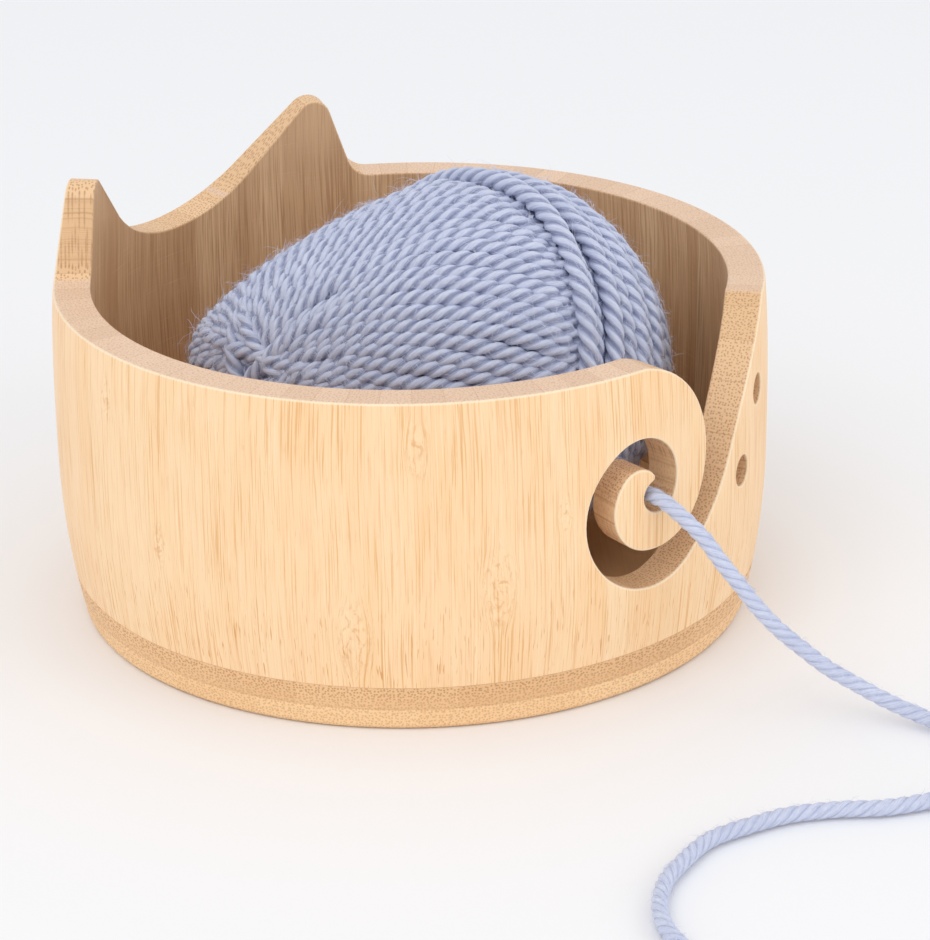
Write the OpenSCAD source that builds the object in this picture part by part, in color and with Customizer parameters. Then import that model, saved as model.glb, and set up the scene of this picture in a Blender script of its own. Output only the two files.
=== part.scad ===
// Round yarn bowl in bamboo, coopered from upright staves on a base of two glued plies.
// A curled slot in the wall guides the strand, two needle holes stand beside it, and
// two pointed ears rise from the back of the rim. A ball of yarn lies inside.
// Origin at the middle of the underside, +Z up, ears at the back (+Y), slot at the front.

/* [Bowl] */
// Outer radius at the rim
rim_r = 80; // [74:0.5:90]
// Outer radius at the widest place
belly_r = 81; // [78:0.5:92]
// Outer radius at the underside
foot_r = 76.5; // [70:0.5:78]
// Height of the rim
rim_h = 76.5; // [74:0.5:90]
// Height of the widest place
belly_z = 42; // [30:1:55]
// Thickness of the wall
wall_t = 8.5; // [6:0.5:11]
// Rounding of the lower edge
foot_round = 2; // [0.5:0.25:3]

/* [Staves] */
// Number of staves round the wall, each three bamboo strips wide
stave_count = 24; // [20:1:30]
// Direction of the first glue joint
first_joint = 10; // [0:1:14]

/* [Base] */
// Thickness of each ply
ply_t = 5.5; // [4:0.25:8]
// Number of bamboo strips in the upper ply; the lower ply has one more
upper_strips = 9; // [7:1:10]
// Direction in which the strips of both plies run
grain_angle = 40; // [0:5:90]

/* [Ears] */
// Height of the lowest place between the ears
valley_z = 72.5; // [70:0.5:76]
// Radius of the valley between the ears
valley_r = 40; // [38:0.5:44]
// Angle through which the valley turns, which is the slope of the ears' inner sides
valley_sweep = 41; // [38:1:46]
// Length of the straight inner side of an ear
ear_side = 19.5; // [14:0.5:24]
// Rounding of an ear's tip
ear_tip_r = 5; // [3:0.5:7]
// Slope of the steep outer side of an ear
ear_slope = 69; // [60:1:75]
// Rounding where an ear meets the rim
ear_fillet_r = 6.5; // [4:0.5:8]
// How far the outer face of an ear leans in for each mm above the rim
ear_lean = 0.14; // [0:0.01:0.2]
// How much thinner an ear gets for each mm above the rim
ear_thinning = 0.095; // [0:0.005:0.12]

/* [Curled slot] */
// Direction of the middle of the curl
curl_angle = -102; // [-106:1:-98]
// Height of the pocket's right-hand edge, where both sides of the slot start
curl_z = 46; // [42:0.5:48]
// Radius of the eye, where the slot curls over
eye_r = 10.5; // [10:0.5:11.5]
// Radius of the big lower bend of the slot
bend_r = 18; // [17.5:0.5:20]
// Radius of the pocket in which the strand runs
pocket_r = 4.7; // [4.5:0.1:5]
// Radius of the hollow behind the hook's nose
hollow_r = 3.6; // [3.4:0.1:3.8]
// Radius of the hook's nose
nose_r = 1; // [0.8:0.1:1.4]
// Radius of the curl's top
curl_top_r = 5.4; // [5:0.1:5.8]
// Radius of the curl's lower left
curl_r = 10.5; // [10:0.5:11]
// Radius of the tongue's lower right
chin_r = 16; // [14:0.5:17]
// Radius of the tongue's top corner
tongue_r = 23; // [18:0.5:23]

/* [Needle holes] */
// Diameter of a needle hole
needle_d = 7; // [4:0.5:8]
// Direction of the upper hole
upper_hole_angle = -69; // [-72:0.5:-68]
// Height of the upper hole
upper_hole_z = 57; // [50:0.5:62]
// Direction of the lower hole
lower_hole_angle = -76.5; // [-76.5:0.5:-74]
// Height of the lower hole
lower_hole_z = 41.5; // [30:0.5:44]

/* [Yarn] */
// Half the length of the ball
ball_half_l = 55; // [45:0.5:57]
// Radius of the ball before it swells towards its blunt end
ball_r = 41; // [30:0.5:42]
// How much the ball swells towards its blunt end
ball_swell = 0.35; // [0:0.05:0.4]
// Fullness of the ball's outline: 2 is an ellipse
ball_fullness = 1.7; // [1.6:0.1:2.2]
// Direction in which the blunt end points
ball_angle = -53; // [-60:1:-46]
// How far the blunt end dips, in degrees
ball_dip = 2; // [0:1:6]
// How far the belt of crossing wraps stands proud of the lengthwise ones
belt_rise = 1.5; // [0.5:0.25:1.5]
// Width of the belt
belt_w = 27; // [20:1:34]
// How far past the middle of the ball the belt starts
belt_start = 2; // [0:0.5:4]
// Angle between the belt's axis and the length of the ball
belt_tilt = 42; // [36:1:46]
// Direction in which the belt's axis leans, round the ball from below
belt_turn = 70; // [60:1:80]
// Diameter of the yarn
yarn_d = 3.5; // [3:0.25:5]

/* [Hidden] */
// Sharpness of the barrel curve below and above the widest place
foot_power = 2.4;
rim_power = 3;
// Steps along each stretch of the wall's profile, and largest turn of one step on an arc
profile_steps = 6;
arc_step = 12;
// Small clearance between pieces that don't touch, and overrun of every cutter
clearance = 0.3;
overrun = 10;
// Overrun of the radial cutters through the wall, kept short so that their facets stay true
fan_overrun = 3;
$fn = 144;

// Middle of the ball, from the bowl's axis
ball_x = 2.5;
ball_y = -3;

floor_z = 2*ply_t;
stave_angle = 360/stave_count;

// Outer radius of the barrel at height z
function outer_r(z) = z < belly_z
    ? belly_r-(belly_r-foot_r)*pow((belly_z-z)/belly_z, foot_power)
    : z < rim_h
    ? belly_r-(belly_r-rim_r)*pow((z-belly_z)/(rim_h-belly_z), rim_power)
    : rim_r-(z-rim_h)*ear_lean;

// Width of a strip, a little over an even share of the lower ply's width. The joints of the
// lower ply lie half a strip aside from those of the upper one.
strip_share = 1.02;
strip_w = 2*strip_share*outer_r(ply_t/2)/upper_strips;
lower_strips = upper_strips+1;

// Inner radius: the wall is even up to the rim, and the ears get thinner above it
function inner_r(z) = outer_r(z)-wall_t+max(0, z-rim_h)*ear_thinning;

// Heights from low to high in even steps
function levels(low, high, n) = [for (i = [0:n]) low+(high-low)*i/n];

// Points of one arc of a path: radius, turn (left is positive), from point p with heading h
function arc(p, h, r, turn) = let (
        side = turn < 0 ? -1 : 1,
        c = p+side*r*[-sin(h), cos(h)],
        n = ceil(abs(turn)/arc_step))
    [for (i = [1:n]) let (a = h+turn*i/n) c+side*r*[sin(a), -cos(a)]];

// A path of arcs that run into each other smoothly, each [radius, turn]; turn 0 is a straight
// of that length
function path(p, h, moves, i = 0) = i == len(moves) ? [p] : let (
        m = moves[i],
        step = m[1] == 0 ? [p+m[0]*[cos(h), sin(h)]] : arc(p, h, m[0], m[1]),
        n = len(step))
    concat([p], [for (k = [0:1:n-2]) step[k]], path(step[n-1], h+m[1], moves, i+1));

function last(list) = list[len(list)-1];
function reversed(list) = [for (i = [len(list)-1:-1:0]) list[i]];

// Both sides of the slot start at the pocket's right-hand edge. Distances run along the wall
// from the middle of the curl.
slot_start = [7.5, curl_z];
// Over the eye, round the big bend and up the flank, which runs on straight past the rim
flank_slope = 31;
flank = path(slot_start, 64, [[eye_r, 147], [bend_r, 186], [62, 24], [73, -30]]);
slot_side = concat(flank, [last(flank)
    +(rim_h+fan_overrun-last(flank)[1])*[1/tan(flank_slope), 1]]);
// Through the pocket, round the hook and the curl, and round the corner up to the rim
tongue_slope = 65;
curl_moves = [[pocket_r, -110], [hollow_r, -115], [nose_r, 109], [curl_top_r, 100],
    [curl_r, 122], [chin_r, 75]];
curl_end = last(path(slot_start, 244, curl_moves));
tongue_rise = max(0, rim_h-curl_end[1]-tongue_r*(1+cos(tongue_slope)));
tongue_side = path(slot_start, 244, concat(curl_moves,
    [[max(0.01, tongue_rise/sin(tongue_slope)), 0], [tongue_r, 180-tongue_slope]]));
slot_outline = concat(reversed(slot_side), [for (i = [1:len(tongue_side)-1]) tongue_side[i]],
    [[last(tongue_side)[0], rim_h+fan_overrun]]);
slot_reach = [for (p = slot_outline) if (p[1] <= rim_h) p[0]/belly_r*180/PI];
slot_low = curl_angle+min(slot_reach);
slot_high = curl_angle+max(slot_reach);

// Half an ear, from the middle of the valley outwards; the steep side is as long as it takes
// to come down to the rim
ear_top = path([0, valley_z], 0,
    [[valley_r, valley_sweep], [ear_side, 0], [ear_tip_r, -(valley_sweep+ear_slope)]]);
ear_drop = last(ear_top)[1]-ear_fillet_r*(1-cos(ear_slope))-rim_h;
half_ear = path([0, valley_z], 0,
    [[valley_r, valley_sweep], [ear_side, 0], [ear_tip_r, -(valley_sweep+ear_slope)],
     [ear_drop/sin(ear_slope), 0], [ear_fillet_r, ear_slope]]);
ear_reach = last(half_ear)[0]/rim_r*180/PI;
ear_tip_z = max([for (p = half_ear) p[1]]);
ear_line = concat([for (p = reversed(half_ear)) [-p[0], p[1]]],
    [for (i = [1:len(half_ear)-1]) half_ear[i]]);

// Cross-section of the wall from the base up to height top
module wall_profile(top) {
    low = levels(floor_z, belly_z, profile_steps);
    high = levels(belly_z, rim_h, profile_steps);
    ear = top > rim_h ? levels(rim_h, top, 3) : [rim_h];
    heights = concat(low, [for (i = [1:len(high)-1]) high[i]], [for (i = [1:1:len(ear)-1]) ear[i]]);
    polygon(concat(
        [for (z = heights) [outer_r(z), z]],
        [for (z = reversed(heights)) [inner_r(z), z]]));
}

// A solid through the wall whose sides all point at the bowl's axis. The outline is given as
// [distance along the wall, height]; its middle lies in one direction and radius r turns its
// distances into angles. It is true for the stave that faces the other direction.
module radial_fan(outline, middle, r, facing) {
    far = belly_r+fan_overrun;
    near = min(foot_r-wall_t, inner_r(ear_tip_z))-fan_overrun;
    rotate([0, 0, facing])
        translate([far, 0, 0])
            rotate([90, 0, -90])
                linear_extrude(height = far-near, scale = [near/far, 1], slices = 1)
                    polygon([for (p = outline) [-far*tan(p[0]/r*180/PI+middle-facing), p[1]]]);
}

module needle_hole(direction, height) {
    rotate([0, 0, direction])
        translate([belly_r-2*wall_t, 0, height])
            rotate([0, 90, 0])
                cylinder(h = 3*wall_t, d = needle_d);
}

// Everything below the line of the ears, as far as the stave that faces a direction reaches
module ear_blank(facing) {
    middle = (facing-90)*rim_r*PI/180;
    half_w = stave_angle/2*rim_r*PI/180+fan_overrun;
    ends = [middle-half_w, middle+half_w];
    radial_fan(concat(
        [[ends[0], -overrun], [ends[0], lookup(ends[0], ear_line)]],
        [for (p = ear_line) if (p[0] > ends[0] && p[0] < ends[1]) p],
        [[ends[1], lookup(ends[1], ear_line)], [ends[1], -overrun]]), 90, rim_r, facing);
}

// Whether the stave that starts at angle a reaches into the stretch from low to high
function reaches(a, low, high) = a < high && a+stave_angle > low;
// Angle brought between -180 and 180
function wrapped(a) = a > 180 ? a-360 : a;
hole_half_angle = asin(needle_d/2/(belly_r-wall_t-1));

module stave(i) {
    a = wrapped(first_joint+i*stave_angle);
    facing = a+stave_angle/2;
    in_ears = reaches(a, 90-ear_reach, 90+ear_reach);
    color("burlywood")
        difference() {
            intersection() {
                rotate([0, 0, a])
                    rotate_extrude(angle = stave_angle)
                        wall_profile(in_ears ? ear_tip_z+1 : rim_h);
                if (in_ears)
                    ear_blank(facing);
                else
                    cylinder(r = belly_r+overrun, h = rim_h);
            }
            if (reaches(a, slot_low, slot_high))
                radial_fan(slot_outline, curl_angle, belly_r, facing);
            for (hole = [[upper_hole_angle, upper_hole_z], [lower_hole_angle, lower_hole_z]])
                if (reaches(a, hole[0]-hole_half_angle, hole[0]+hole_half_angle))
                    needle_hole(hole[0], hole[1]);
        }
}

// Turned outline of the base between two heights; the lowest edge is rounded
module base_disc(low, high) {
    rotate_extrude()
        polygon(concat(
            [[0, low]],
            low < foot_round
                ? [for (a = [0:15:75]) [outer_r(foot_round)-foot_round*(1-sin(a)), low+foot_round*(1-cos(a))]]
                : [],
            [for (z = levels(max(low, foot_round), high, 3)) [outer_r(z), z]],
            [[0, high]]));
}

// Strip number i of a ply that lies between two heights and has n strips; the first and the
// last reach out to the rounded side
module ply_strip(i, n, low, high) {
    edge = belly_r+overrun;
    from = i == 0 ? -edge : (i-n/2)*strip_w;
    to = i == n-1 ? edge : (i+1-n/2)*strip_w;
    intersection() {
        base_disc(low, high);
        rotate([0, 0, grain_angle])
            translate([-edge, from, low-overrun])
                cube([2*edge, to-from, high-low+2*overrun]);
    }
}

module upper_ply_strip(i) {
    color("tan")
        ply_strip(i, upper_strips, ply_t, floor_z);
}

module lower_ply_strip(i) {
    color("wheat")
        ply_strip(i, lower_strips, 0, ply_t);
}

// Radius of the ball at place t along its length, from -1 to 1
function ball_radius(t) = ball_r*pow(max(0, 1-pow(abs(t), ball_fullness)), 1/ball_fullness)
    *(1+ball_swell*t);
ball_places = [for (i = [0:28]) -cos(180*i/28)];
belt_growth = 1+belt_rise/ball_r;
// How far the ball reaches below its middle as it lies on the belt
ball_low = belt_growth
    *max([for (t = ball_places) ball_radius(t)*cos(ball_dip)+ball_half_l*t*sin(ball_dip)]);

// Round body of the ball, made larger by a factor
module ball_body(growth) {
    rotate_extrude()
        polygon([for (t = ball_places) growth*[abs(t) > 0.9999 ? 0 : ball_radius(t), ball_half_l*t]]);
}

// The lengthwise wraps as one body, and the belt of crossing wraps round it
module yarn_ball() {
    color("lightsteelblue")
        translate([ball_x, ball_y, floor_z+clearance+ball_low])
            rotate([0, 90+ball_dip, ball_angle]) {
                ball_body(1);
                intersection() {
                    ball_body(belt_growth);
                    rotate([0, belt_tilt, belt_turn])
                        translate([0, 0, belt_start])
                            cylinder(r = 2*ball_half_l, h = belt_w);
                }
            }
}

// Route of the loose strand: off the ball, out through the pocket, down to the table,
// round a loose bend and back along the front
yarn_route = [
    [9, -53, 31.5], [6.5, -55.2, 32], [2.5, -57.4, 33.5], [-2.5, -59.3, 35.8],
    [-6.5, -60.8, 38.8], [-9.5, -62.9, 42], [-11.5, -66.3, 44.9], [-12.9, -71, 46.4],
    [-14.2, -77, 46.9], [-14.4, -81, 46.4], [-13.6, -85, 43.9], [-12.6, -88.8, 40.8],
    [-12, -91.3, 38.2], [-11.2, -94.4, 34.3], [-9.9, -98.5, 29.5], [-8.6, -102, 25],
    [-6.7, -106.4, 20.3], [-4.2, -110.9, 16.1], [-1.6, -115.4, 12.1], [1.4, -120.5, 8.7],
    [3.8, -126.1, 5.8], [6.2, -131.9, 3.4], [7, -138, 2.5], [8, -145, 2.1],
    [8, -152, 2.1], [5.5, -160, 2.1], [-1, -165.5, 2.1], [-9.5, -165, 2.1],
    [-16, -160, 2.1], [-23, -155, 2.1], [-30.9, -149.4, 2.1], [-37.9, -141.7, 2.1],
    [-45.6, -135.4, 2.1], [-54.8, -131.3, 2.1], [-63.8, -128.6, 2.1], [-74, -129.5, 2.1],
    [-83, -131.6, 2.1], [-91, -136.1, 2.1], [-97.1, -142, 2.1], [-101, -149, 2.1],
    [-104, -157, 2.1]];
yarn_sides = 8;

function unit(a) = a/norm(a);
// Heading of the route at point i
function heading(i) = unit(yarn_route[min(i+1, len(yarn_route)-1)]-yarn_route[max(i-1, 0)]);

module yarn_tail() {
    n = len(yarn_route);
    rings = [for (i = [0:n-1]) let (
            side = unit(cross([0, 0, 1], heading(i))),
            up = cross(heading(i), side))
        for (k = [0:yarn_sides-1]) let (a = 360*(k+0.5)/yarn_sides)
            yarn_route[i]+yarn_d/2*(cos(a)*side+sin(a)*up)];
    color("lightsteelblue")
        polyhedron(rings, concat(
            [[for (k = [0:yarn_sides-1]) k]],
            [[for (k = [yarn_sides-1:-1:0]) (n-1)*yarn_sides+k]],
            [for (i = [0:n-2]) for (k = [0:yarn_sides-1]) let (m = (k+1)%yarn_sides)
                for (f = [[i*yarn_sides+k, (i+1)*yarn_sides+k, (i+1)*yarn_sides+m],
                          [i*yarn_sides+k, (i+1)*yarn_sides+m, i*yarn_sides+m]]) f]));
}

for (i = [1:stave_count])
    stave(i-1);
for (i = [1:upper_strips])
    upper_ply_strip(i-1);
for (i = [1:lower_strips])
    lower_ply_strip(i-1);
yarn_ball();
yarn_tail();
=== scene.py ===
import bpy
import numpy as np
from math import atan2, ceil, cos, pi, radians, sin
from mathutils import Matrix, Vector
from mathutils.geometry import delaunay_2d_cdt


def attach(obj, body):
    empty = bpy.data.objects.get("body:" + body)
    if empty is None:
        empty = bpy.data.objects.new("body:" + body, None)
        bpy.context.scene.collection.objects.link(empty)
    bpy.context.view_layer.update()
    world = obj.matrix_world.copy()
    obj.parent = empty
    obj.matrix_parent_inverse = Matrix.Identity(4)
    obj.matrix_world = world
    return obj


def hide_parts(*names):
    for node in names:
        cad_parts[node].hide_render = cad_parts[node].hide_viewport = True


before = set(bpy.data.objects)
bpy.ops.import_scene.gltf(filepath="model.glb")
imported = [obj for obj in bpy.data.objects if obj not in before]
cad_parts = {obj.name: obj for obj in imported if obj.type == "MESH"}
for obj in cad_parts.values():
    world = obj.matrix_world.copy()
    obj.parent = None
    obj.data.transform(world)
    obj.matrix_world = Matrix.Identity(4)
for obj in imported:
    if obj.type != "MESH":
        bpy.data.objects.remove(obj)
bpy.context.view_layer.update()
scene = bpy.context.scene
scene.view_settings.view_transform = "Standard"

# Camera: the photograph's own, found from the rim, the seams and the outline. It stands 817 mm
# off and looks 22 degrees down on the bowl; the bowl's frame is turned -50 degrees against it.
tilt, roll = radians(22.175), radians(1.216)
turn_x, turn_y = 0.01447, -0.01383
camera_far, aim_z = 0.8171, 0.04
focal_px, photo_w, film_w = 3561.2, 930, 36
away = np.array([0, cos(tilt), -sin(tilt)])
axes = np.array([[1, 0, 0], [0, sin(tilt), cos(tilt)], away])
swing_x = np.array([[cos(turn_x), 0, -sin(turn_x)], [0, 1, 0], [sin(turn_x), 0, cos(turn_x)]])
swing_y = np.array([[1, 0, 0], [0, cos(turn_y), -sin(turn_y)], [0, sin(turn_y), cos(turn_y)]])
rolled = np.array([[cos(roll), -sin(roll), 0], [sin(roll), cos(roll), 0], [0, 0, 1]])
look = rolled @ swing_y @ swing_x @ axes
spin = Matrix.Rotation(radians(-50), 4, "Z")
lens = bpy.data.cameras.new("camera")
lens.sensor_fit = "HORIZONTAL"
lens.sensor_width = film_w
lens.lens = focal_px/photo_w*film_w
lens.clip_start, lens.clip_end = 0.05, 20
camera = bpy.data.objects.new("camera", lens)
scene.collection.objects.link(camera)
place = Matrix(np.column_stack([look[0], look[1], -look[2]]).tolist()).to_4x4()
place.translation = Vector((-camera_far*away+np.array([0, 0, aim_z])).tolist())
camera.matrix_world = spin @ place
scene.camera = camera


# Yarn: thick soft wool in light blue-grey, plied left-handed from thin strands. Painted shade
# darkens the grooves between the plies, the fibres run along the plies, and loose fibres stand off it.
MM = 0.001


class Sock:
    """One socket of a node tree; arithmetic on it adds Math nodes, so shader sums read as formulas."""

    def __init__(self, tree, out):
        self.tree, self.out = tree, out

    def node(self, kind, inputs=(), out=0, **settings):
        """A new node of that kind with its settings, then its inputs; its output number out."""
        n = self.tree.nodes.new("ShaderNode"+kind)
        for key, value in settings.items():
            setattr(n, key, value)
        for key, value in dict(inputs).items():
            plug(self.tree, value, n.inputs[key])
        return Sock(self.tree, n.outputs[out])

    def math(self, op, *rest):
        return self.node("Math", enumerate((self,)+rest), operation=op)

    def __add__(self, b):
        return self.math("ADD", b)

    def __sub__(self, b):
        return self.math("SUBTRACT", b)

    def __rsub__(self, a):
        return self*-1+a

    def __mul__(self, b):
        return self.math("MULTIPLY", b)

    def __truediv__(self, b):
        return self.math("DIVIDE", b)

    def __rtruediv__(self, a):
        return self.node("Math", {0: a, 1: self}, operation="DIVIDE")

    __radd__ = __add__
    __rmul__ = __mul__

    def floor(self):
        return self.math("FLOOR")

    def fract(self):
        return self.math("FRACT")

    def abs(self):
        return self.math("ABSOLUTE")

    def max(self, b):
        return self.math("MAXIMUM", b)

    def ramp(self, zero_at, one_at):
        """Smooth step from 0 at the first value to 1 at the second, which may be the lower one."""
        return self.node("MapRange", {0: self, 1: zero_at, 2: one_at, 3: 0.0, 4: 1.0},
                         interpolation_type="SMOOTHSTEP")

    def mix(self, a, b):
        """Colour a where self is 0, colour b where it is 1."""
        n = self.tree.nodes.new("ShaderNodeMix")
        n.data_type = "RGBA"
        for i, value in ((0, self), (6, a), (7, b)):
            plug(self.tree, value, n.inputs[i])
        return Sock(self.tree, n.outputs[2])

    def noise(self, scale, detail=2, rough=0.5, warp=0):
        """Noise of this vector, its value."""
        return self.node("TexNoise", {"Vector": self, "Scale": scale, "Detail": detail,
                                      "Roughness": rough, "Distortion": warp})


def plug(tree, value, socket):
    """A link from a Sock, or else a fixed value, into a socket."""
    if isinstance(value, Sock):
        tree.links.new(value.out, socket)
    else:
        socket.default_value = value


def linear(r, g, b):
    """sRGB 0-255 as the linear colour that a shader socket takes."""
    return tuple(((c/255+0.055)/1.055)**2.4 if c > 10 else c/255/12.92 for c in (r, g, b))+(1,)


def surface(name, rough, **fixed):
    """A new material: itself, its shader, and a first socket with object coordinates in mm."""
    m = bpy.data.materials.new(name)
    m.use_nodes = True
    shader = m.node_tree.nodes["Principled BSDF"]
    shader.inputs["Roughness"].default_value = rough
    for key, value in fixed.items():
        shader.inputs[key.replace("_", " ")].default_value = value
    coords = Sock(m.node_tree, m.node_tree.nodes.new("ShaderNodeTexCoord").outputs["Object"])
    to_mm = (1/MM, 1/MM, 1/MM)
    return m, shader, coords.node("VectorMath", {0: coords, 1: to_mm}, operation="MULTIPLY")


def vector(x, y, z):
    """A vector of three values, of which at least one is a Sock."""
    return next(v for v in (x, y, z) if isinstance(v, Sock)).node("CombineXYZ", enumerate((x, y, z)))


def attribute(p, name):
    """The mesh's float attribute of that name, in the tree of p."""
    return p.node("Attribute", out=2, attribute_name=name)


def bump(shader, height, distance, strength=1.0):
    """Relief from a height of 0 to 1 that stands for so many mm."""
    n = height.node("Bump", {"Height": height, "Distance": distance*MM, "Strength": strength})
    plug(height.tree, n, shader.inputs["Normal"])


wool, shader, p = surface("wool", 1.0, Sheen_Weight=0.12, Sheen_Roughness=0.6, Specular_IOR_Level=0.08)
groove, lay_s = attribute(p, "groove"), attribute(p, "lay_s")
lay_x, lay_y = attribute(p, "lay_x"), attribute(p, "lay_y")
fibre = vector(3.2*lay_x, 3.2*lay_y, 0.5*lay_s).noise(1.0, 3, 0.65, 0.4)
tone = p.noise(0.06, 2, 0.5)
# painted shade: the grooves between the plies are coloured darker
light = groove.ramp(0.45, 1.05).mix(linear(206, 213, 236), linear(120, 129, 166))
light = (0.55*fibre.ramp(0.42, 0.72)).mix(light, linear(228, 233, 247))
light = (0.4*fibre.ramp(0.52, 0.28)).mix(light, linear(166, 175, 208))
light = (0.2*tone.ramp(0.4, 0.7)).mix(light, linear(178, 186, 214))
plug(p.tree, light, shader.inputs["Base Color"])
bump(shader, fibre-0.3*groove, 0.3, 0.7)
fluff, shader, p = surface("wool_fluff", 1.0, Specular_IOR_Level=0.05)
plug(p.tree, p.noise(0.3).mix(linear(196, 203, 229), linear(226, 230, 244)), shader.inputs["Base Color"])


def mesh_object(name, verts, faces, material, smooth=True, **attributes):
    """A mesh from arrays in mm, with one float attribute for each name."""
    mesh = bpy.data.meshes.new(name)
    mesh.from_pydata((np.asarray(verts)*MM).tolist(), [], [list(map(int, f)) for f in faces])
    mesh.polygons.foreach_set("use_smooth", np.full(len(mesh.polygons), smooth))
    for key, values in attributes.items():
        mesh.attributes.new(key, "FLOAT", "POINT").data.foreach_set(
            "value", np.asarray(values, np.float32))
    mesh.materials.append(material)
    mesh.update()
    o = bpy.data.objects.new(name, mesh)
    scene.collection.objects.link(o)
    return o


def unit(v):
    """Rows of v at length 1, or v itself at length 1."""
    return v/np.linalg.norm(v, axis=-1, keepdims=True)


def lengths_along(path):
    """Distance from the path's start to each of its points."""
    return np.r_[0, np.cumsum(np.linalg.norm(np.diff(path, axis=0), axis=1))]


def tube_quads(rings, sides):
    """Faces between rings of a swept tube, each ring closed on itself."""
    i, k = np.meshgrid(np.arange(rings-1), np.arange(sides), indexing="ij")
    m = (k+1) % sides
    return np.stack([i*sides+k, i*sides+m, (i+1)*sides+m, (i+1)*sides+k], -1).reshape(-1, 4)


def smooth_path(points, step):
    """A Catmull-Rom curve through points, 24 places to each stretch, which is
    (2*b + (c-a)*t + (2*a-5*b+4*c-d)*t^2 + (3*b-a-3*c+d)*t^3)/2 between b and c with a before and
    d after them. It is then resampled evenly at about that step."""
    p = np.asarray(points, float)
    q = np.vstack([2*p[0]-p[1], p, 2*p[-1]-p[-2]])
    t = np.linspace(0, 1, 24, endpoint=False)[:, None]
    stretches = []
    for a, b, c, d in zip(q[:-3], q[1:-2], q[2:-1], q[3:]):
        stretches.append(0.5*(2*b+(c-a)*t+(2*a-5*b+4*c-d)*t**2+(3*b-a-3*c+d)*t**3))
    dense = np.vstack(stretches+[p[-1:]])
    s = lengths_along(dense)
    even = np.linspace(0, s[-1], max(3, int(s[-1]/step)+1))
    return np.column_stack([np.interp(even, s, dense[:, k]) for k in range(3)])


def plied(path, radius, side, sides, plies=3, lead=11.5, start=0.0, depth=0.3):
    """A twisted strand swept along a path. Its points follow the plies: point k has angle
    b = 2*pi*k/sides - 2*pi*s/lead, which turns left-handed, and radius*(1-depth*g**3) with
    g = |cos(pi*f)| and f its place across the ply. side gives each place's zero direction.
    Returns points, quads and attributes: groove is 1 between two plies, and lay_x, lay_y, lay_s
    are coordinates in mm that turn with the plies, for fibres that run along them."""
    n = len(path)
    tangent = unit(np.gradient(path, axis=0))
    u = unit(side-(side*tangent).sum(1)[:, None]*tangent)
    v = np.cross(tangent, u)
    s = lengths_along(path)+start
    k = np.arange(sides)
    b = 2*pi*k[None]/sides-(2*pi*s/lead)[:, None]
    g = np.abs(np.cos(pi*(k*plies/sides % 1)))
    r = radius*(1-depth*g**3)
    spoke = np.cos(b)[..., None]*u[:, None]+np.sin(b)[..., None]*v[:, None]
    ring = path[:, None]+r[None, :, None]*spoke
    turn = 2*pi*k/sides
    lay = dict(groove=np.tile(g, n), lay_x=np.tile(radius*np.cos(turn), n),
               lay_y=np.tile(radius*np.sin(turn), n), lay_s=np.repeat(s, sides))
    return ring.reshape(-1, 3), tube_quads(n, sides), lay


def hairs(name, lines, count, seed, length=(2.0, 5.0), width=0.07, stand=0.6):
    """Loose fibres on strands, each a flat ribbon of five steps: from a random place on the
    strand's surface it runs along it, stands off it and curls. lines holds (path, radius, out),
    where out is the direction away from the body for each place."""
    rng = np.random.default_rng(seed)
    weights = np.array([len(path) for path, _, _ in lines], float)
    chosen = rng.choice(len(lines), count, p=weights/weights.sum())
    roots = []
    for i in chosen:
        path, radius, out = lines[i]
        k = rng.integers(1, len(path)-1)
        roots.append((path[k], out[k], path[k+1]-path[k-1], [radius]))
    at, away, along, r = (np.array(column) for column in zip(*roots))
    along = unit(along)
    away = unit(away-(away*along).sum(1)[:, None]*along)
    side = np.cross(along, away)
    a = rng.normal(0, 0.7, (count, 1))
    normal = np.cos(a)*away+np.sin(a)*side
    side = np.cross(along, normal)
    size = rng.uniform(*length, (count, 1))
    turn = rng.uniform(-pi, pi, (count, 1))
    curl = rng.normal(0, 1.4, (count, 1))
    up = stand*rng.uniform(0.1, 1, (count, 1))
    point, rows = at+normal*r*0.9, []
    for step in range(6):
        rows.append(point)
        heading = turn+curl*step/5
        point = point+unit(np.cos(heading)*along+np.sin(heading)*side+normal*up*cos(step*0.55))*size/5
    rows = np.array(rows)
    across = unit(np.cross(rows[1]-rows[0], rng.normal(size=(count, 3))))
    taper = width/2*np.array([1, 1, 0.9, 0.8, 0.6, 0.3])[:, None, None]
    verts = np.stack([rows-across*taper, rows+across*taper], 2).transpose(1, 0, 2, 3).reshape(-1, 3)
    k = np.arange(count)[:, None]*12+np.arange(5)*2
    quads = np.stack([k, k+1, k+3, k+2], -1).reshape(-1, 4)
    return mesh_object(name, verts, quads, fluff)


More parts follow.
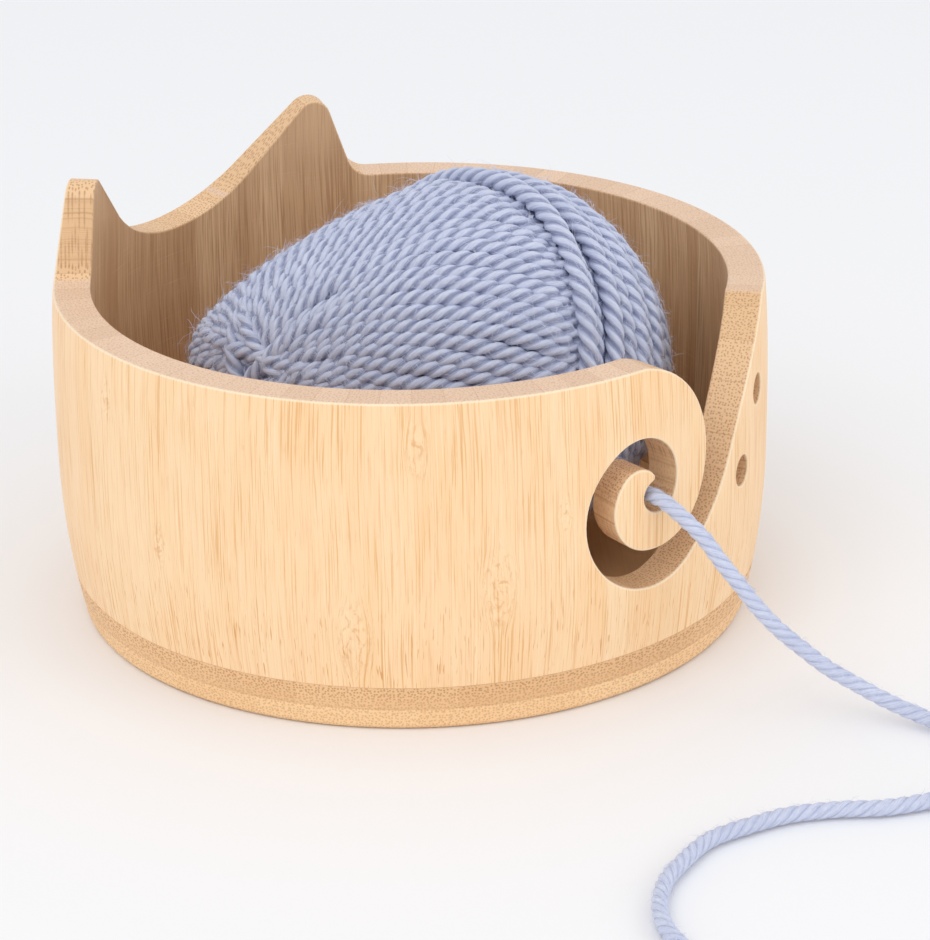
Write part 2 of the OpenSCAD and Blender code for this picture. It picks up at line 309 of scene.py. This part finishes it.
# Loose strand: 3.5 mm wool, leaves the ball at its front, runs through the pocket of the curl
# and down to the table, turns in a wide loop and lies back along the front.
strand_r, strand_sides, hairs_from = 1.75, 24, 60
route = [
    [9, -53, 31.5], [6.5, -55.2, 32], [2.5, -57.4, 33.5], [-2.5, -59.3, 35.8],
    [-6.5, -60.8, 38.8], [-9.5, -62.9, 42], [-11.5, -66.3, 44.9], [-12.9, -71, 46.4],
    [-14.2, -77, 46.9], [-14.4, -81, 46.4], [-13.6, -85, 43.9], [-12.6, -88.8, 40.8],
    [-12, -91.3, 38.2], [-11.2, -94.4, 34.3], [-9.9, -98.5, 29.5], [-8.6, -102, 25],
    [-6.7, -106.4, 20.3], [-4.2, -110.9, 16.1], [-1.6, -115.4, 12.1], [1.4, -120.5, 8.7],
    [3.8, -126.1, 5.8], [6.2, -131.9, 3.4], [7, -138, 2.5], [8, -145, 2.1],
    [8, -152, 2.1], [5.5, -160, 2.1], [-1, -165.5, 2.1], [-9.5, -165, 2.1],
    [-16, -160, 2.1], [-23, -155, 2.1], [-30.9, -149.4, 2.1], [-37.9, -141.7, 2.1],
    [-45.6, -135.4, 2.1], [-54.8, -131.3, 2.1], [-63.8, -128.6, 2.1], [-74, -129.5, 2.1],
    [-83, -131.6, 2.1], [-91, -136.1, 2.1], [-97.1, -142, 2.1], [-101, -149, 2.1],
    [-104, -157, 2.1]]
line = smooth_path(route, 0.6)
up = np.tile([0.0, 0.0, 1.0], (len(line), 1))
ring, quads, lay = plied(line, strand_r, up, strand_sides, plies=4, lead=11.5, depth=0.18)
# softer painted groove shade, and shallower groove relief, on the loose strand
lay["groove"] = 0.72*lay["groove"]**2
caps = [list(range(strand_sides))[::-1], [len(ring)-strand_sides+k for k in range(strand_sides)]]
strand = mesh_object("loose_strand", ring, list(quads)+caps, wool, **lay)
strand_fluff = hairs("loose_strand_fluff", [(line[hairs_from:], strand_r, up[hairs_from:])],
                     count=1100, seed=3, length=(1, 3), stand=0.4)
for o in (strand, strand_fluff):
    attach(o, "bowl")
    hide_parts("yarn_tail")

# Table: a plain pale matt sheet, 6 m wide, so that its edge is far away. It lies under the bowl
# and isn't part of the object.
half = 3000
paper, shader, p = surface("pale_table", 0.9)
shader.inputs["Base Color"].default_value = linear(243, 244, 247)
table = mesh_object("table", [[-half, -half, 0], [half, -half, 0], [half, half, 0], [-half, half, 0]],
                    [[0, 1, 2, 3]], paper, smooth=False)

# Lights: soft light from all round, a large soft lamp from above on the camera's left,
# and a weaker one from its right.
world = scene.world or bpy.data.worlds.new("world")
scene.world = world
world.use_nodes = True
sky = world.node_tree.nodes["Background"]
sky.inputs["Color"].default_value = (1, 1, 1, 1)
sky.inputs["Strength"].default_value = 0.84


def lamp(name, place, size, power):
    """A round soft lamp that points at the bowl; its place is given in the camera's directions."""
    light = bpy.data.lights.new(name, "AREA")
    light.shape, light.size, light.energy = "DISK", size, power
    o = bpy.data.objects.new(name, light)
    scene.collection.objects.link(o)
    at = spin @ Vector(place)
    facing = (at-Vector((0, 0, aim_z))).to_track_quat("Z", "Y").to_matrix().to_4x4()
    o.matrix_world = Matrix.Translation(at) @ facing


lamp("key", place=(-0.7, -1.2, 1.6), size=1.6, power=9.5)
lamp("fill", place=(1.4, -0.8, 0.9), size=1.2, power=4)

# Ball of yarn: wound from the same wool, 110 mm long, its blunt end towards the right of the
# photograph. Lengthwise wraps fan out from a pole near the pointed end and dive under a belt of
# looser crossing wraps that stands proud of them.
ball_half, ball_r, swell, fullness, dip = 55, 41, 0.35, 1.7, radians(2)
belt_rise, belt_tilt, belt_turn = 1.5, radians(42), radians(70)
ball_x, ball_y, lowest_z = 2.5, -3, 11.3
turned = np.array(Matrix.Rotation(radians(-53), 3, "Z") @ Matrix.Rotation(pi/2+dip, 3, "Y"))
# the outline at 801 places t along the axis: ball_r*(1-|t|^fullness)^(1/fullness)*(1+swell*t)
t = -np.cos(pi*np.linspace(0, 1, 801))
girth = ball_r*np.maximum(0, 1-np.abs(t)**fullness)**(1/fullness)*(1+swell*t)
polar, reach = np.arctan2(girth, ball_half*t)[::-1], np.hypot(girth, ball_half*t)[::-1]
ball_low = (1+belt_rise/ball_r)*(girth*cos(dip)+ball_half*t*sin(dip)).max()
middle = np.array([ball_x, ball_y, lowest_z+ball_low])
belt_axis = np.array([sin(belt_tilt)*cos(belt_turn), sin(belt_tilt)*sin(belt_turn), cos(belt_tilt)])
near_pole, far_pole = unit(np.array([-0.08, -0.39, -0.92])), unit(np.array([0.2, -0.25, 0.95]))
wrap_r, pitch, places, wrap_sides = 2.1, 3.4, 240, 15
deepest, under_belt, belt_edge = 2.8, 2.0, 93
rng = np.random.default_rng(7)


def outline(n):
    """Distance from the ball's middle to its surface in unit direction n."""
    return np.interp(np.arctan2(np.hypot(n[..., 0], n[..., 1]), n[..., 2]), polar, reach)


def swing(side):
    """Unit directions from the near pole to the far one, on the circle through both that bulges
    towards side, which is square to the line that joins them."""
    normal = unit(np.cross(side, far_pole-near_pole))
    c = (normal @ near_pole)*normal
    u = near_pole-c
    v = np.cross(normal, u)
    v *= 1 if v @ side > 0 else -1
    end = atan2((far_pole-c) @ v, (far_pole-c) @ u) % (2*pi)
    a = np.linspace(0.03, end-0.03, places)[:, None]
    return c+np.cos(a)*u+np.sin(a)*v


def slow_wave(size):
    """A smooth random wave along a wrap: the sum of three sines of different rates and phases."""
    x = np.linspace(0, 1, places)
    return size*sum(np.sin(2*pi*(f*x+rng.random())) for f in (1, 2.3, 3.7))/1.7


def square_to(axis, hint):
    """Two unit directions square to an axis and to each other, the first also square to hint."""
    e = unit(np.cross(axis, hint))
    return e, np.cross(axis, e)


# The fan: part circles from pole to pole, evenly spaced round the middle of the ball. They come in
# fours, because in each four the strands end at different distances from the poles.
e, f = square_to(unit(far_pole-near_pole), [0.3, 0.9, 0.1])
turns = np.linspace(0, 2*pi, 721)
equator = np.array([swing(cos(g)*e+sin(g)*f)[places//2] for g in turns])
around = lengths_along(equator*outline(equator)[:, None])
fan = int(round(around[-1]/pitch/4))*4
strands = []
for k in range(fan):
    g = np.interp((k+rng.uniform(-0.12, 0.12))*around[-1]/fan, around, turns)
    n = swing(cos(g)*e+sin(g)*f)
    sideways = unit(np.cross(n, np.gradient(n, axis=0)))
    n = unit(n+sideways*slow_wave(0.007)[:, None])
    # where strands crowd towards a pole, every other one dives under its neighbours
    limit = radians((36, 10, 19, 10)[k % 4]*rng.uniform(0.85, 1.15))
    from_pole = np.minimum(np.arccos(n @ near_pole), np.arccos(n @ far_pole))
    dive = deepest*np.clip((limit-from_pole)/radians(10)+0.5, 0, 1)**1.5
    # all of them dive under the belt, and end 11 degrees in from its edge
    to_belt = np.degrees(np.arccos(n @ belt_axis))
    dive = dive+under_belt*np.clip((belt_edge-to_belt)/6, 0, 1)
    lift = 0.1+rng.uniform(-0.2, 0.2)+slow_wave(0.18)-dive
    keep = (dive < deepest) & (to_belt > belt_edge-11)
    strands.append((n, lift, keep, wrap_r))
# A few loops cross the pole of the fan, each with its heading and its shift in degrees
e, f = square_to(near_pole, [0.9, 0.3, 0.1])
for heading, shift in ((20, 4), (75, -3), (130, 5), (165, -6), (48, -8)):
    g = radians(heading)
    a = np.linspace(-0.75, 0.75, 200)
    n = unit(near_pole+sin(radians(shift))*(cos(g)*f-sin(g)*e))
    n = unit(np.cos(a)[:, None]*n+np.sin(a)[:, None]*(cos(g)*e+sin(g)*f))
    strands.append((n, 0.7-0.02*abs(shift)-3.2*(np.abs(a)/0.75)**3, np.abs(a) < 0.72, wrap_r))
# The belt: rings of uneven height and spacing, each with its angle from the belt's axis, its
# height and its radius. Their ends meet below the ball.
rings = [(84.5, 1.8, 2.35), (79.5, -1.2, 2.1), (74.5, 1.4, 2.2), (69.5, 0.5, 2.2), (65.5, 1.5, 2.2),
         (61, 0.9, 2.1), (57, 1.3, 2.1), (53, 0.8, 2.1), (49, 1.2, 2.1), (45, 0.6, 2.1)]
rings += [(angle, rng.uniform(-0.1, 0.4), wrap_r) for angle in np.arange(41.2, 2, -3.8)]
e = unit(np.array([1, 0, 0])-belt_axis[0]*belt_axis)
f = np.cross(belt_axis, e)
a = np.linspace(0, 2*pi+0.04, 400)
round_belt = np.cos(a)[:, None]*e+np.sin(a)[:, None]*f
for angle, rise, r in rings:
    b = radians(angle)+radians(0.9)*np.sin(a*2+rng.uniform(0, 6))+radians(0.5)*np.sin(a*5+rng.uniform(0, 6))
    n = np.cos(b)[:, None]*belt_axis+np.sin(b)[:, None]*round_belt
    strands.append((n, rise+0.25*np.sin(a*3+rng.uniform(0, 6)), np.ones(len(a), bool), r))


def joined(parts):
    """Several swept strands as one mesh: points, quads and attributes."""
    starts = np.cumsum([0]+[len(v) for v, _, _ in parts])
    verts = np.vstack([v for v, _, _ in parts])
    quads = np.vstack([q+start for (_, q, _), start in zip(parts, starts)])
    return verts, quads, {key: np.concatenate([lay[key] for _, _, lay in parts]) for key in parts[0][2]}


# a piece of wraps is closed once it has this many points, which keeps it under 200,000 triangles
most_points = 88000
pieces, parts, wound = [], [], []
for n, lift, keep, r in strands:
    stops = np.nonzero(np.diff(np.r_[0, keep.astype(int), 0]))[0]
    for i, j in zip(stops[::2], stops[1::2]):
        if j-i < 6:
            continue
        path = n[i:j]*(outline(n[i:j])-r+lift[i:j])[:, None]
        path = smooth_path(path[::3], 0.95) @ turned.T+middle
        wound.append((path, r, path-middle))
        parts.append(plied(path, r, path-middle, wrap_sides, start=rng.uniform(0, 200)))
    if sum(len(v) for v, _, _ in parts) > most_points or lift is strands[-1][1]:
        verts, quads, lay = joined(parts)
        pieces.append(mesh_object(f"yarn_wraps_{len(pieces)+1}", verts, quads, wool, **lay))
        parts = []

# What is under the wraps: a plain egg of the same wool in the shade between the strands, coloured all
# over in the dark groove colour as painted shade. Short fluff and a few long stray fibres stand off the
# wraps.
core_rings, core_sides, core_depth = 40, 64, 2.8
a, b = np.meshgrid(np.linspace(0, pi, core_rings), np.linspace(0, 2*pi, core_sides, endpoint=False),
                   indexing="ij")
n = np.stack([np.sin(a)*np.cos(b), np.sin(a)*np.sin(b), np.cos(a)], -1).reshape(-1, 3)
pieces.append(mesh_object("yarn_core", (n*(outline(n)-core_depth)[:, None]) @ turned.T+middle,
                          tube_quads(core_rings, core_sides), wool, groove=np.ones(len(n))))
pieces.append(hairs("yarn_fluff", wound, count=15000, seed=11))
pieces.append(hairs("yarn_stray_fibres", wound, count=700, seed=12, length=(5, 11), width=0.06,
                    stand=1.2))
for o in pieces:
    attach(o, "ball")
    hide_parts("yarn_ball")

# Wall of the bowl: upright bamboo strips glued edge to edge and turned to a barrel, 8.5 mm thick,
# with two ears, a curled slot and two needle holes cut through it. All cuts point at the axis and
# have eased edges. Flat coordinates: X along the wall at radius 80, Z up, and depth into the wall.
rim_r, belly_r, foot_r, rim_h, belly_z, wall_t, floor_z = 80, 81, 76.5, 76.5, 42, 8.5, 11
ear_lean, ear_thinning, first_joint, open_at, curl_angle = 0.14, 0.095, 10, -30, 258
stave_count, stave_angle, strip_angle = 24, 15, 5
unroll = radians(1)*rim_r


def outer_radius(z):
    """81-4.5*((42-z)/42)^2.4 below 42 mm, 81-((z-42)/34.5)^3 up to the rim, leaning in above it."""
    z = np.asarray(z, float)
    low = belly_r-(belly_r-foot_r)*np.clip((belly_z-z)/belly_z, 0, None)**2.4
    high = belly_r-(belly_r-rim_r)*np.clip((z-belly_z)/(rim_h-belly_z), 0, None)**3
    return np.where(z < belly_z, low, np.where(z < rim_h, high, rim_r-(z-rim_h)*ear_lean))


def arcs(at, heading, moves):
    """Points of arcs that run on smoothly, each (radius, turn in degrees), left is positive;
    turn 0 is a straight of that length."""
    at, h, points = np.array(at, float), radians(heading), [np.array(at, float)]
    for r, turn in moves:
        side, steps = (-1 if turn < 0 else 1), max(1, ceil(abs(turn)/5))
        c = at+side*r*np.array([-sin(h), cos(h)])
        for i in range(1, steps+1):
            g = h+radians(turn)*i/steps
            straight = at+r*np.array([cos(h), sin(h)])
            points.append(straight if turn == 0 else c+side*r*np.array([sin(g), -cos(g)]))
        at, h = points[-1], h+radians(turn)
    return np.array(points)


def up_to_rim(points):
    """The points below the rim, and the place where the line crosses it."""
    k = int(np.argmax(points[:, 1] >= rim_h))
    f = (rim_h-points[k-1, 1])/(points[k, 1]-points[k-1, 1])
    return np.vstack([points[:k], points[k-1]+f*(points[k]-points[k-1])])


# The slot, from the pocket's right-hand edge: over the eye, round the big bend and up the flank,
# which ends at a slope of 31 degrees; and through the pocket, round the hook, the curl and the
# tongue's corner.
pocket_edge, flank_slope = [7.5, 46], radians(31)
flank = arcs(pocket_edge, 64, [(10.5, 147), (18, 186), (62, 24), (73, -30)])
past_rim = flank[-1]+(rim_h+3-flank[-1, 1])*np.array([1/np.tan(flank_slope), 1])
flank = up_to_rim(np.vstack([flank, past_rim]))
tongue = arcs(pocket_edge, 244, [(4.7, -110), (3.6, -115), (1, 109), (5.4, 100), (10.5, 122),
                                 (16, 75), (23, 115)])
tongue = up_to_rim(np.vstack([tongue, tongue[-1]+[-5, 0.01]]))
slot = np.vstack([tongue[::-1], flank[1:]])
slot = np.column_stack([curl_angle+np.degrees(slot[:, 0]/belly_r), slot[:, 1]])
# The ears: half of them from the middle of the valley outwards, then mirrored
valley, ear_angle, ear_slope, fillet_r = [0, 72.5], 90, 69, 6.5
ear_moves = [(40, 41), (19.5, 0), (5, -110)]
ear = arcs(valley, 0, ear_moves)
drop = ear[-1, 1]-fillet_r*(1-cos(radians(ear_slope)))-rim_h
ear = arcs(valley, 0, ear_moves+[(drop/sin(radians(ear_slope)), 0), (fillet_r, ear_slope)])
ear[-1, 1] = rim_h
ears = np.vstack([ear[::-1]*[-1, 1], ear[1:]])
ears = np.column_stack([ear_angle+np.degrees(ears[:, 0]/rim_r), ears[:, 1]])


def flat_line(a, b, z, step=2.5):
    """Points every 2.5 degrees along a level line, both ends left out."""
    inner = np.arange(ceil((a+0.3)/step)*step, b-0.3, step)
    return np.column_stack([inner, np.full(len(inner), z)])


end_at = open_at+360
top_line = np.vstack([[[open_at, rim_h]], flat_line(open_at, ears[0, 0], rim_h), ears,
                      flat_line(ears[-1, 0], slot[0, 0], rim_h), slot,
                      flat_line(slot[-1, 0], end_at, rim_h), [[end_at, rim_h]]])
bottom_line = np.vstack([[[open_at, floor_z]], flat_line(open_at, end_at, floor_z), [[end_at, floor_z]]])


def inward(points, closed):
    """Shifts to the left of the way that are mitred at each point, and their unit directions."""
    if closed:
        before, after = points-np.roll(points, 1, 0), np.roll(points, -1, 0)-points
    else:
        d = np.diff(points, axis=0)
        before, after = np.vstack([d[:1], d]), np.vstack([d, d[-1:]])
    first, second = (unit(np.column_stack([-d[:, 1], d[:, 0]])) for d in (before, after))
    m = first+second
    return m/np.maximum(0.6, (m*first).sum(1))[:, None], unit(m)


# Each border line with whether it is closed and how far its edges are eased; the two holes last
needle_r = 3.5
lines = [(bottom_line*[unroll, 1], False, 0.15), (top_line[::-1]*[unroll, 1], False, 0.55)]
a = np.linspace(0, 2*pi, 40, endpoint=False)[::-1]
for angle, z in ((291, 57), (283.5, 41.5)):
    lines.append((np.column_stack([angle*unroll+needle_r*np.cos(a), z+needle_r*np.sin(a)]), True, 0.5))

# The cut faces: every border line is carried from the outer face round its eased edge, through
# the wall and round the inner edge
verts, quads, total = [], [], 0
border, edges = [], []
for points, closed, ease in lines:
    shift, normal = inward(points, closed)
    n = len(points)
    profile = [(ease*(1-sin(g)), ease*(1-cos(g)), g) for g in np.radians([0, 30, 60, 90])]
    profile += [(o, wall_t-d, pi-g) for o, d, g in profile[::-1]]
    for o, d, g in profile:
        # columns: X, Z, depth, cut, the normal's share across (X, Z) and out of the face, and the painted
        # highlight on the outer eased edge
        verts.append(np.column_stack([points+shift*o, np.full(n, d), np.full(n, sin(g)**2),
                                      -normal*sin(g), np.full(n, cos(g)),
                                      np.full(n, sin(2*g)**2*(g < 1.5))]))
    k = np.arange(n if closed else n-1)
    m = (k+1) % n
    for row in range(len(profile)-1):
        at = total+row*n
        quads.append(np.stack([at+k, at+n+k, at+n+m, at+m], -1))
    base = len(border)
    border += [tuple(v) for v in points+shift*ease]
    edges += [(base+i, base+j) for i, j in zip(k.tolist(), m.tolist())]
    total += len(profile)*n
ends = [0, len(bottom_line)-1, len(bottom_line), len(bottom_line)+len(top_line)-1]
edges += [(ends[1], ends[2]), (ends[3], ends[0])]


def inside(q):
    """Whether points lie in the wall: the number of border lines to their right is odd."""
    a, b = np.array([border[i] for i, _ in edges]), np.array([border[j] for _, j in edges])
    x, z = q[:, 0][:, None], q[:, 1][:, None]
    cross = (a[:, 1] > z) != (b[:, 1] > z)
    dz = np.where(b[:, 1] == a[:, 1], 1, b[:, 1]-a[:, 1])
    return ((cross & (x < (b[:, 0]-a[:, 0])*(z-a[:, 1])/dz+a[:, 0])).sum(1) % 2) == 1


# The outer and inner faces: one flat net of triangles inside the borders, used on both. Its own
# points stay clear of the borders' points.
net_step, net_rise, net_clear = 2.5, 4.1, 1.3
across = np.arange(open_at+net_step, open_at+359, net_step)*unroll
grid = np.stack(np.meshgrid(across, np.arange(14.5, 96, net_rise)), -1).reshape(-1, 2)
far = np.array([np.hypot(*(np.array(border)-g).T).min() for g in grid])
grid = grid[(far > net_clear) & inside(grid)]
flat_points = [Vector(v) for v in border]+[Vector(v) for v in grid]
flat_v, _, flat_f, _, _, _ = delaunay_2d_cdt(flat_points, edges, [], 0, 1e-5)
flat_v, flat_f = np.array(flat_v), np.array(flat_f)
flat_f = flat_f[inside(flat_v[flat_f].mean(1))]
n = len(flat_v)
zero = np.zeros((n, 1))
verts.append(np.hstack([flat_v, zero, zero, zero, zero, zero+1, zero]))
verts.append(np.hstack([flat_v, zero+wall_t, zero, zero, zero, zero-1, zero]))
tris = np.vstack([total+flat_f, (total+n+flat_f)[:, ::-1]])

# Bent round: radius = outer radius - depth, where the depth shrinks with the ears' thinning
v = np.vstack(verts)
angle, z, depth = v[:, 0]/rim_r, v[:, 1], v[:, 2]
radius = outer_radius(z)-depth/wall_t*(wall_t-np.clip(z-rim_h, 0, None)*ear_thinning)
across = np.column_stack([-np.sin(angle), np.cos(angle), 0*angle])
out = np.column_stack([np.cos(angle), np.sin(angle), 0*angle])
slope = (outer_radius(z+0.1)-outer_radius(z-0.1))/0.2
face_n = unit(out-slope[:, None]*[0, 0, 1])
normals = unit(v[:, 4:5]*across+v[:, 5:6]*[0, 0, 1]+v[:, 6:7]*face_n)
spots = np.column_stack([radius*np.cos(angle), radius*np.sin(angle), z])


# Bamboo of the wall: pale yellow outside with fine upright streaks, shorter near the foot, and a
# few knots that the fibres bend round; browner inside. Each strip has its own tone. Cut wood is
# tan, with the fibres' ends as dark dots. The outer eased edges are painted paler, a painted highlight.
def xyz(p):
    """The three parts of a vector."""
    n = p.tree.nodes.new("ShaderNodeSeparateXYZ")
    plug(p.tree, p, n.inputs[0])
    return [Sock(p.tree, o) for o in n.outputs]


bamboo, shader, p = surface("bamboo_wall", 0.45, Specular_IOR_Level=0.3)
x, y, height = xyz(p)
theta = y.math("ARCTAN2", x)*(180/pi)
cell = (theta-first_joint)/strip_angle
strip, seam = cell.floor(), (cell.fract()-0.5).abs()
own = strip.node("TexWhiteNoise", {"Vector": vector(strip, 3.1, 0.0)}, noise_dimensions="3D")
own2 = strip.node("TexWhiteNoise", {"Vector": vector(strip, 7.7, 2.0)}, noise_dimensions="3D")
run = theta*unroll
# knots that show in the photograph: direction, height and half width
knot_list = ((-139.5, 66.5, 3), (-149.5, 23, 4.5), (-127.5, 33.5, 4.5), (177.5, 37, 2.5),
             (165.5, 66, 2.5), (-117, 49, 2))
knots, bend = None, None
for knot_theta, knot_z, wide in knot_list:
    dx, dz = run-knot_theta*unroll, height-knot_z
    near = (dx*dx/wide**2+dz*dz/(2.4*wide)**2).ramp(1.3, 0.0)
    knots, bend = (near, near*dx) if knots is None else (knots.max(near), bend+near*dx)
wave = vector(0.03*run, 5.0, 0.02*height).noise(1.0, 1)
bent = run-0.55*bend+2.4*(wave-0.5)
# noise drawn out along the fibres: across, then along, in cells for each mm
streaks = vector(2.6*bent, 9.0*strip, 0.035*height).noise(1.0, 3, 0.6, 0.25)
fine = vector(6.5*bent, 3.0*strip, 0.07*height).noise(1.0, 2, 0.5, 0.2)
dashes = vector(2.4*bent, 5.0*strip, 0.16*height).noise(1.0, 2, 0.5, 0.5)
patches = vector(0.12*run, 0.0, 0.03*height).noise(1.0, 2, 0.5, 0.5)
swirl = vector(1.1*bent, 3.0, 0.3*height).noise(1.0, 3, 0.6, 1.2)
dark_streaks = streaks.ramp(0.52, 0.64)
# outside: broad patches, dark and pale streaks, fine lines, dashes, knots, and the glue joints
outside = own.mix(linear(252, 210, 160), linear(254, 220, 176))
outside = (0.5*patches.ramp(0.35, 0.65)).mix(outside, linear(255, 222, 182))
outside = (0.72*dark_streaks*(0.6*patches.ramp(0.7, 0.35)+0.4)).mix(outside, linear(226, 166, 98))
outside = (0.5*streaks.ramp(0.42, 0.30)).mix(outside, linear(255, 232, 198))
outside = (0.45*fine.ramp(0.55, 0.75)).mix(outside, linear(226, 164, 100))
outside = (dashes.ramp(0.60, 0.70)*(0.6*height.ramp(40, 14)+0.18)).mix(outside, linear(214, 150, 84))
outside = (0.38*knots*swirl.ramp(0.50, 0.64)).mix(outside, linear(210, 148, 84))
outside = (0.25*knots*swirl.ramp(0.48, 0.40)).mix(outside, linear(255, 230, 190))
outside = (0.22*seam.ramp(0.488, 0.5)).mix(outside, linear(222, 166, 108))
# inside: streaks, fine lines and patches, level scratches from turning, and painted light that makes it
# paler towards the rim
scratch = vector(0.05*run, 0.0, 2.4*height).noise(1.0, 3, 0.6, 0.2)
inner = own2.mix(linear(206, 164, 124), linear(236, 200, 158))
inner = (0.6*streaks.ramp(0.46, 0.62)).mix(inner, linear(168, 120, 82))
inner = (0.5*fine.ramp(0.5, 0.7)).mix(inner, linear(160, 112, 76))
inner = (0.3*patches.ramp(0.4, 0.7)).mix(inner, linear(190, 146, 108))
inner = (0.25*scratch.ramp(0.58, 0.74)).mix(inner, linear(244, 214, 176))
# painted light: the inner face is coloured paler high up, towards the rim and on the ears
inner = (0.4*height.ramp(68, 92)).mix(inner, linear(240, 204, 164))
# cut wood: dots where a cut runs level, streaks where it stands upright, greyer on the rim
cut, ease, deep, level = (attribute(p, key) for key in ("cut", "ease", "deep", "level"))
through = vector(x, y, 0.0).node("VectorMath", {0: vector(x, y, 0.0)}, out=1, operation="LENGTH")
dots = run.node("TexVoronoi", {"Vector": vector(1.35*(run+0.45*height), 1.35*through, 0.0), "Scale": 1.0,
                               "Randomness": 0.75}, voronoi_dimensions="2D")
grit = vector(run, through, height).noise(1.5, 2, 0.6)
on_rim = (height-rim_h).abs().ramp(0.5, 0.2)
dot_share = (0.35*grit.ramp(0.3, 0.6)+(0.3-0.25*on_rim))*(0.7*level.ramp(0.1, 0.6)+0.3)
cut_wood = own.mix(linear(226, 186, 142), linear(240, 202, 160))
cut_wood = (0.6*fine.ramp(0.45, 0.7)*level.ramp(0.8, 0.3)).mix(cut_wood, linear(186, 138, 94))
cut_wood = on_rim.mix(cut_wood, own.mix(linear(227, 194, 165), linear(236, 204, 176)))
cut_wood = (dots.ramp(0.38, 0.16)*dot_share).mix(cut_wood, linear(162, 112, 72))
cut_wood = (0.4*seam.ramp(0.482, 0.498)).mix(cut_wood, linear(176, 132, 96))
colour = deep.ramp(0.45, 0.55).mix(outside, inner)
colour = cut.ramp(0.3, 0.7).mix(colour, cut_wood)
# painted highlight: the outer eased edges are coloured paler
colour = (0.75*ease).mix(colour, linear(255, 240, 212))
plug(p.tree, colour, shader.inputs["Base Color"])
bump(shader, 0.4*fine-0.3*dark_streaks, 0.05, 0.4)

# Staves: the wall is cut at its glue joints into the 24 staves of the solid, three bamboo strips
# each. Their normals are the whole wall's, so the turned face stays smooth across the joints.
faces = [f for q in quads for f in q]+list(tris)
face_angle = np.array([np.degrees(angle[f].mean()) for f in faces])
stave_of = np.floor((face_angle-first_joint)/stave_angle).astype(int) % stave_count
for n in range(stave_count):
    chosen = [faces[i] for i in np.nonzero(stave_of == n)[0]]
    used, index = np.unique(np.concatenate(chosen), return_inverse=True)
    sizes = np.cumsum([0]+[len(f) for f in chosen])
    chosen = [index[i:j] for i, j in zip(sizes[:-1], sizes[1:])]
    o = mesh_object(f"stave_{n+1}_wood", spots[used], chosen, bamboo, cut=v[used, 3], ease=v[used, 7],
                    deep=depth[used]/wall_t, level=np.abs(v[used, 5]))
    o.data.normals_split_custom_set_from_vertices(normals[used].tolist())
    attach(o, "bowl")
    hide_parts(f"stave_{n+1}")

# Base: two plies of flat bamboo strips, glued crosswise to the wall and turned with it. Their
# edges show the fibre ends as rows of dots; the upper ply is a little darker than the lower one.
grain, strip_w, ply_t = radians(40), 17.5, 5.5
ply, shader, p = surface("bamboo_base", 0.5, Specular_IOR_Level=0.3)
x, y, height = xyz(p)
upper = height.ramp(ply_t-0.1, ply_t+0.1)
grain_x = x*cos(grain)+y*sin(grain)
grain_y = y*cos(grain)-x*sin(grain)
strip = (grain_y/strip_w+0.5*upper).floor()
own = strip.node("TexWhiteNoise", {"Vector": vector(strip, 7.0*upper.math("ROUND"), 0.0)},
                 noise_dimensions="3D")
dots = strip.node("TexVoronoi", {"Vector": vector(1.4*grain_y+0.15*grain_x, 1.4*height, 0.0), "Scale": 1.0,
                                 "Randomness": 0.75}, voronoi_dimensions="2D")
streak = vector(0.05*grain_x, 1.8*grain_y, 1.2*height).noise(1.0, 3, 0.6, 0.2)
lower_tone = own.mix(linear(250, 208, 158), linear(255, 218, 170))
upper_tone = own.mix(linear(232, 188, 140), linear(242, 200, 152))
dot_share = (0.28*height.ramp(6, 10.5)+0.34)*(height-floor_z).abs().ramp(0.0, 0.2)
colour = upper.mix(lower_tone, upper_tone)
colour = (0.3*streak.ramp(0.45, 0.7)).mix(colour, linear(212, 160, 104))
colour = (dots.ramp(0.42, 0.18)*dot_share).mix(colour, linear(168, 116, 70))
colour = (0.2*(height-ply_t).abs().ramp(0.3, 0.1)).mix(colour, linear(176, 126, 82))
plug(p.tree, colour, shader.inputs["Base Color"])
bump(shader, 0.4*dots, 0.05, 0.4)
for name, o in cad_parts.items():
    if "ply_strip" in name:
        o.data.materials.clear()
        o.data.materials.append(ply)
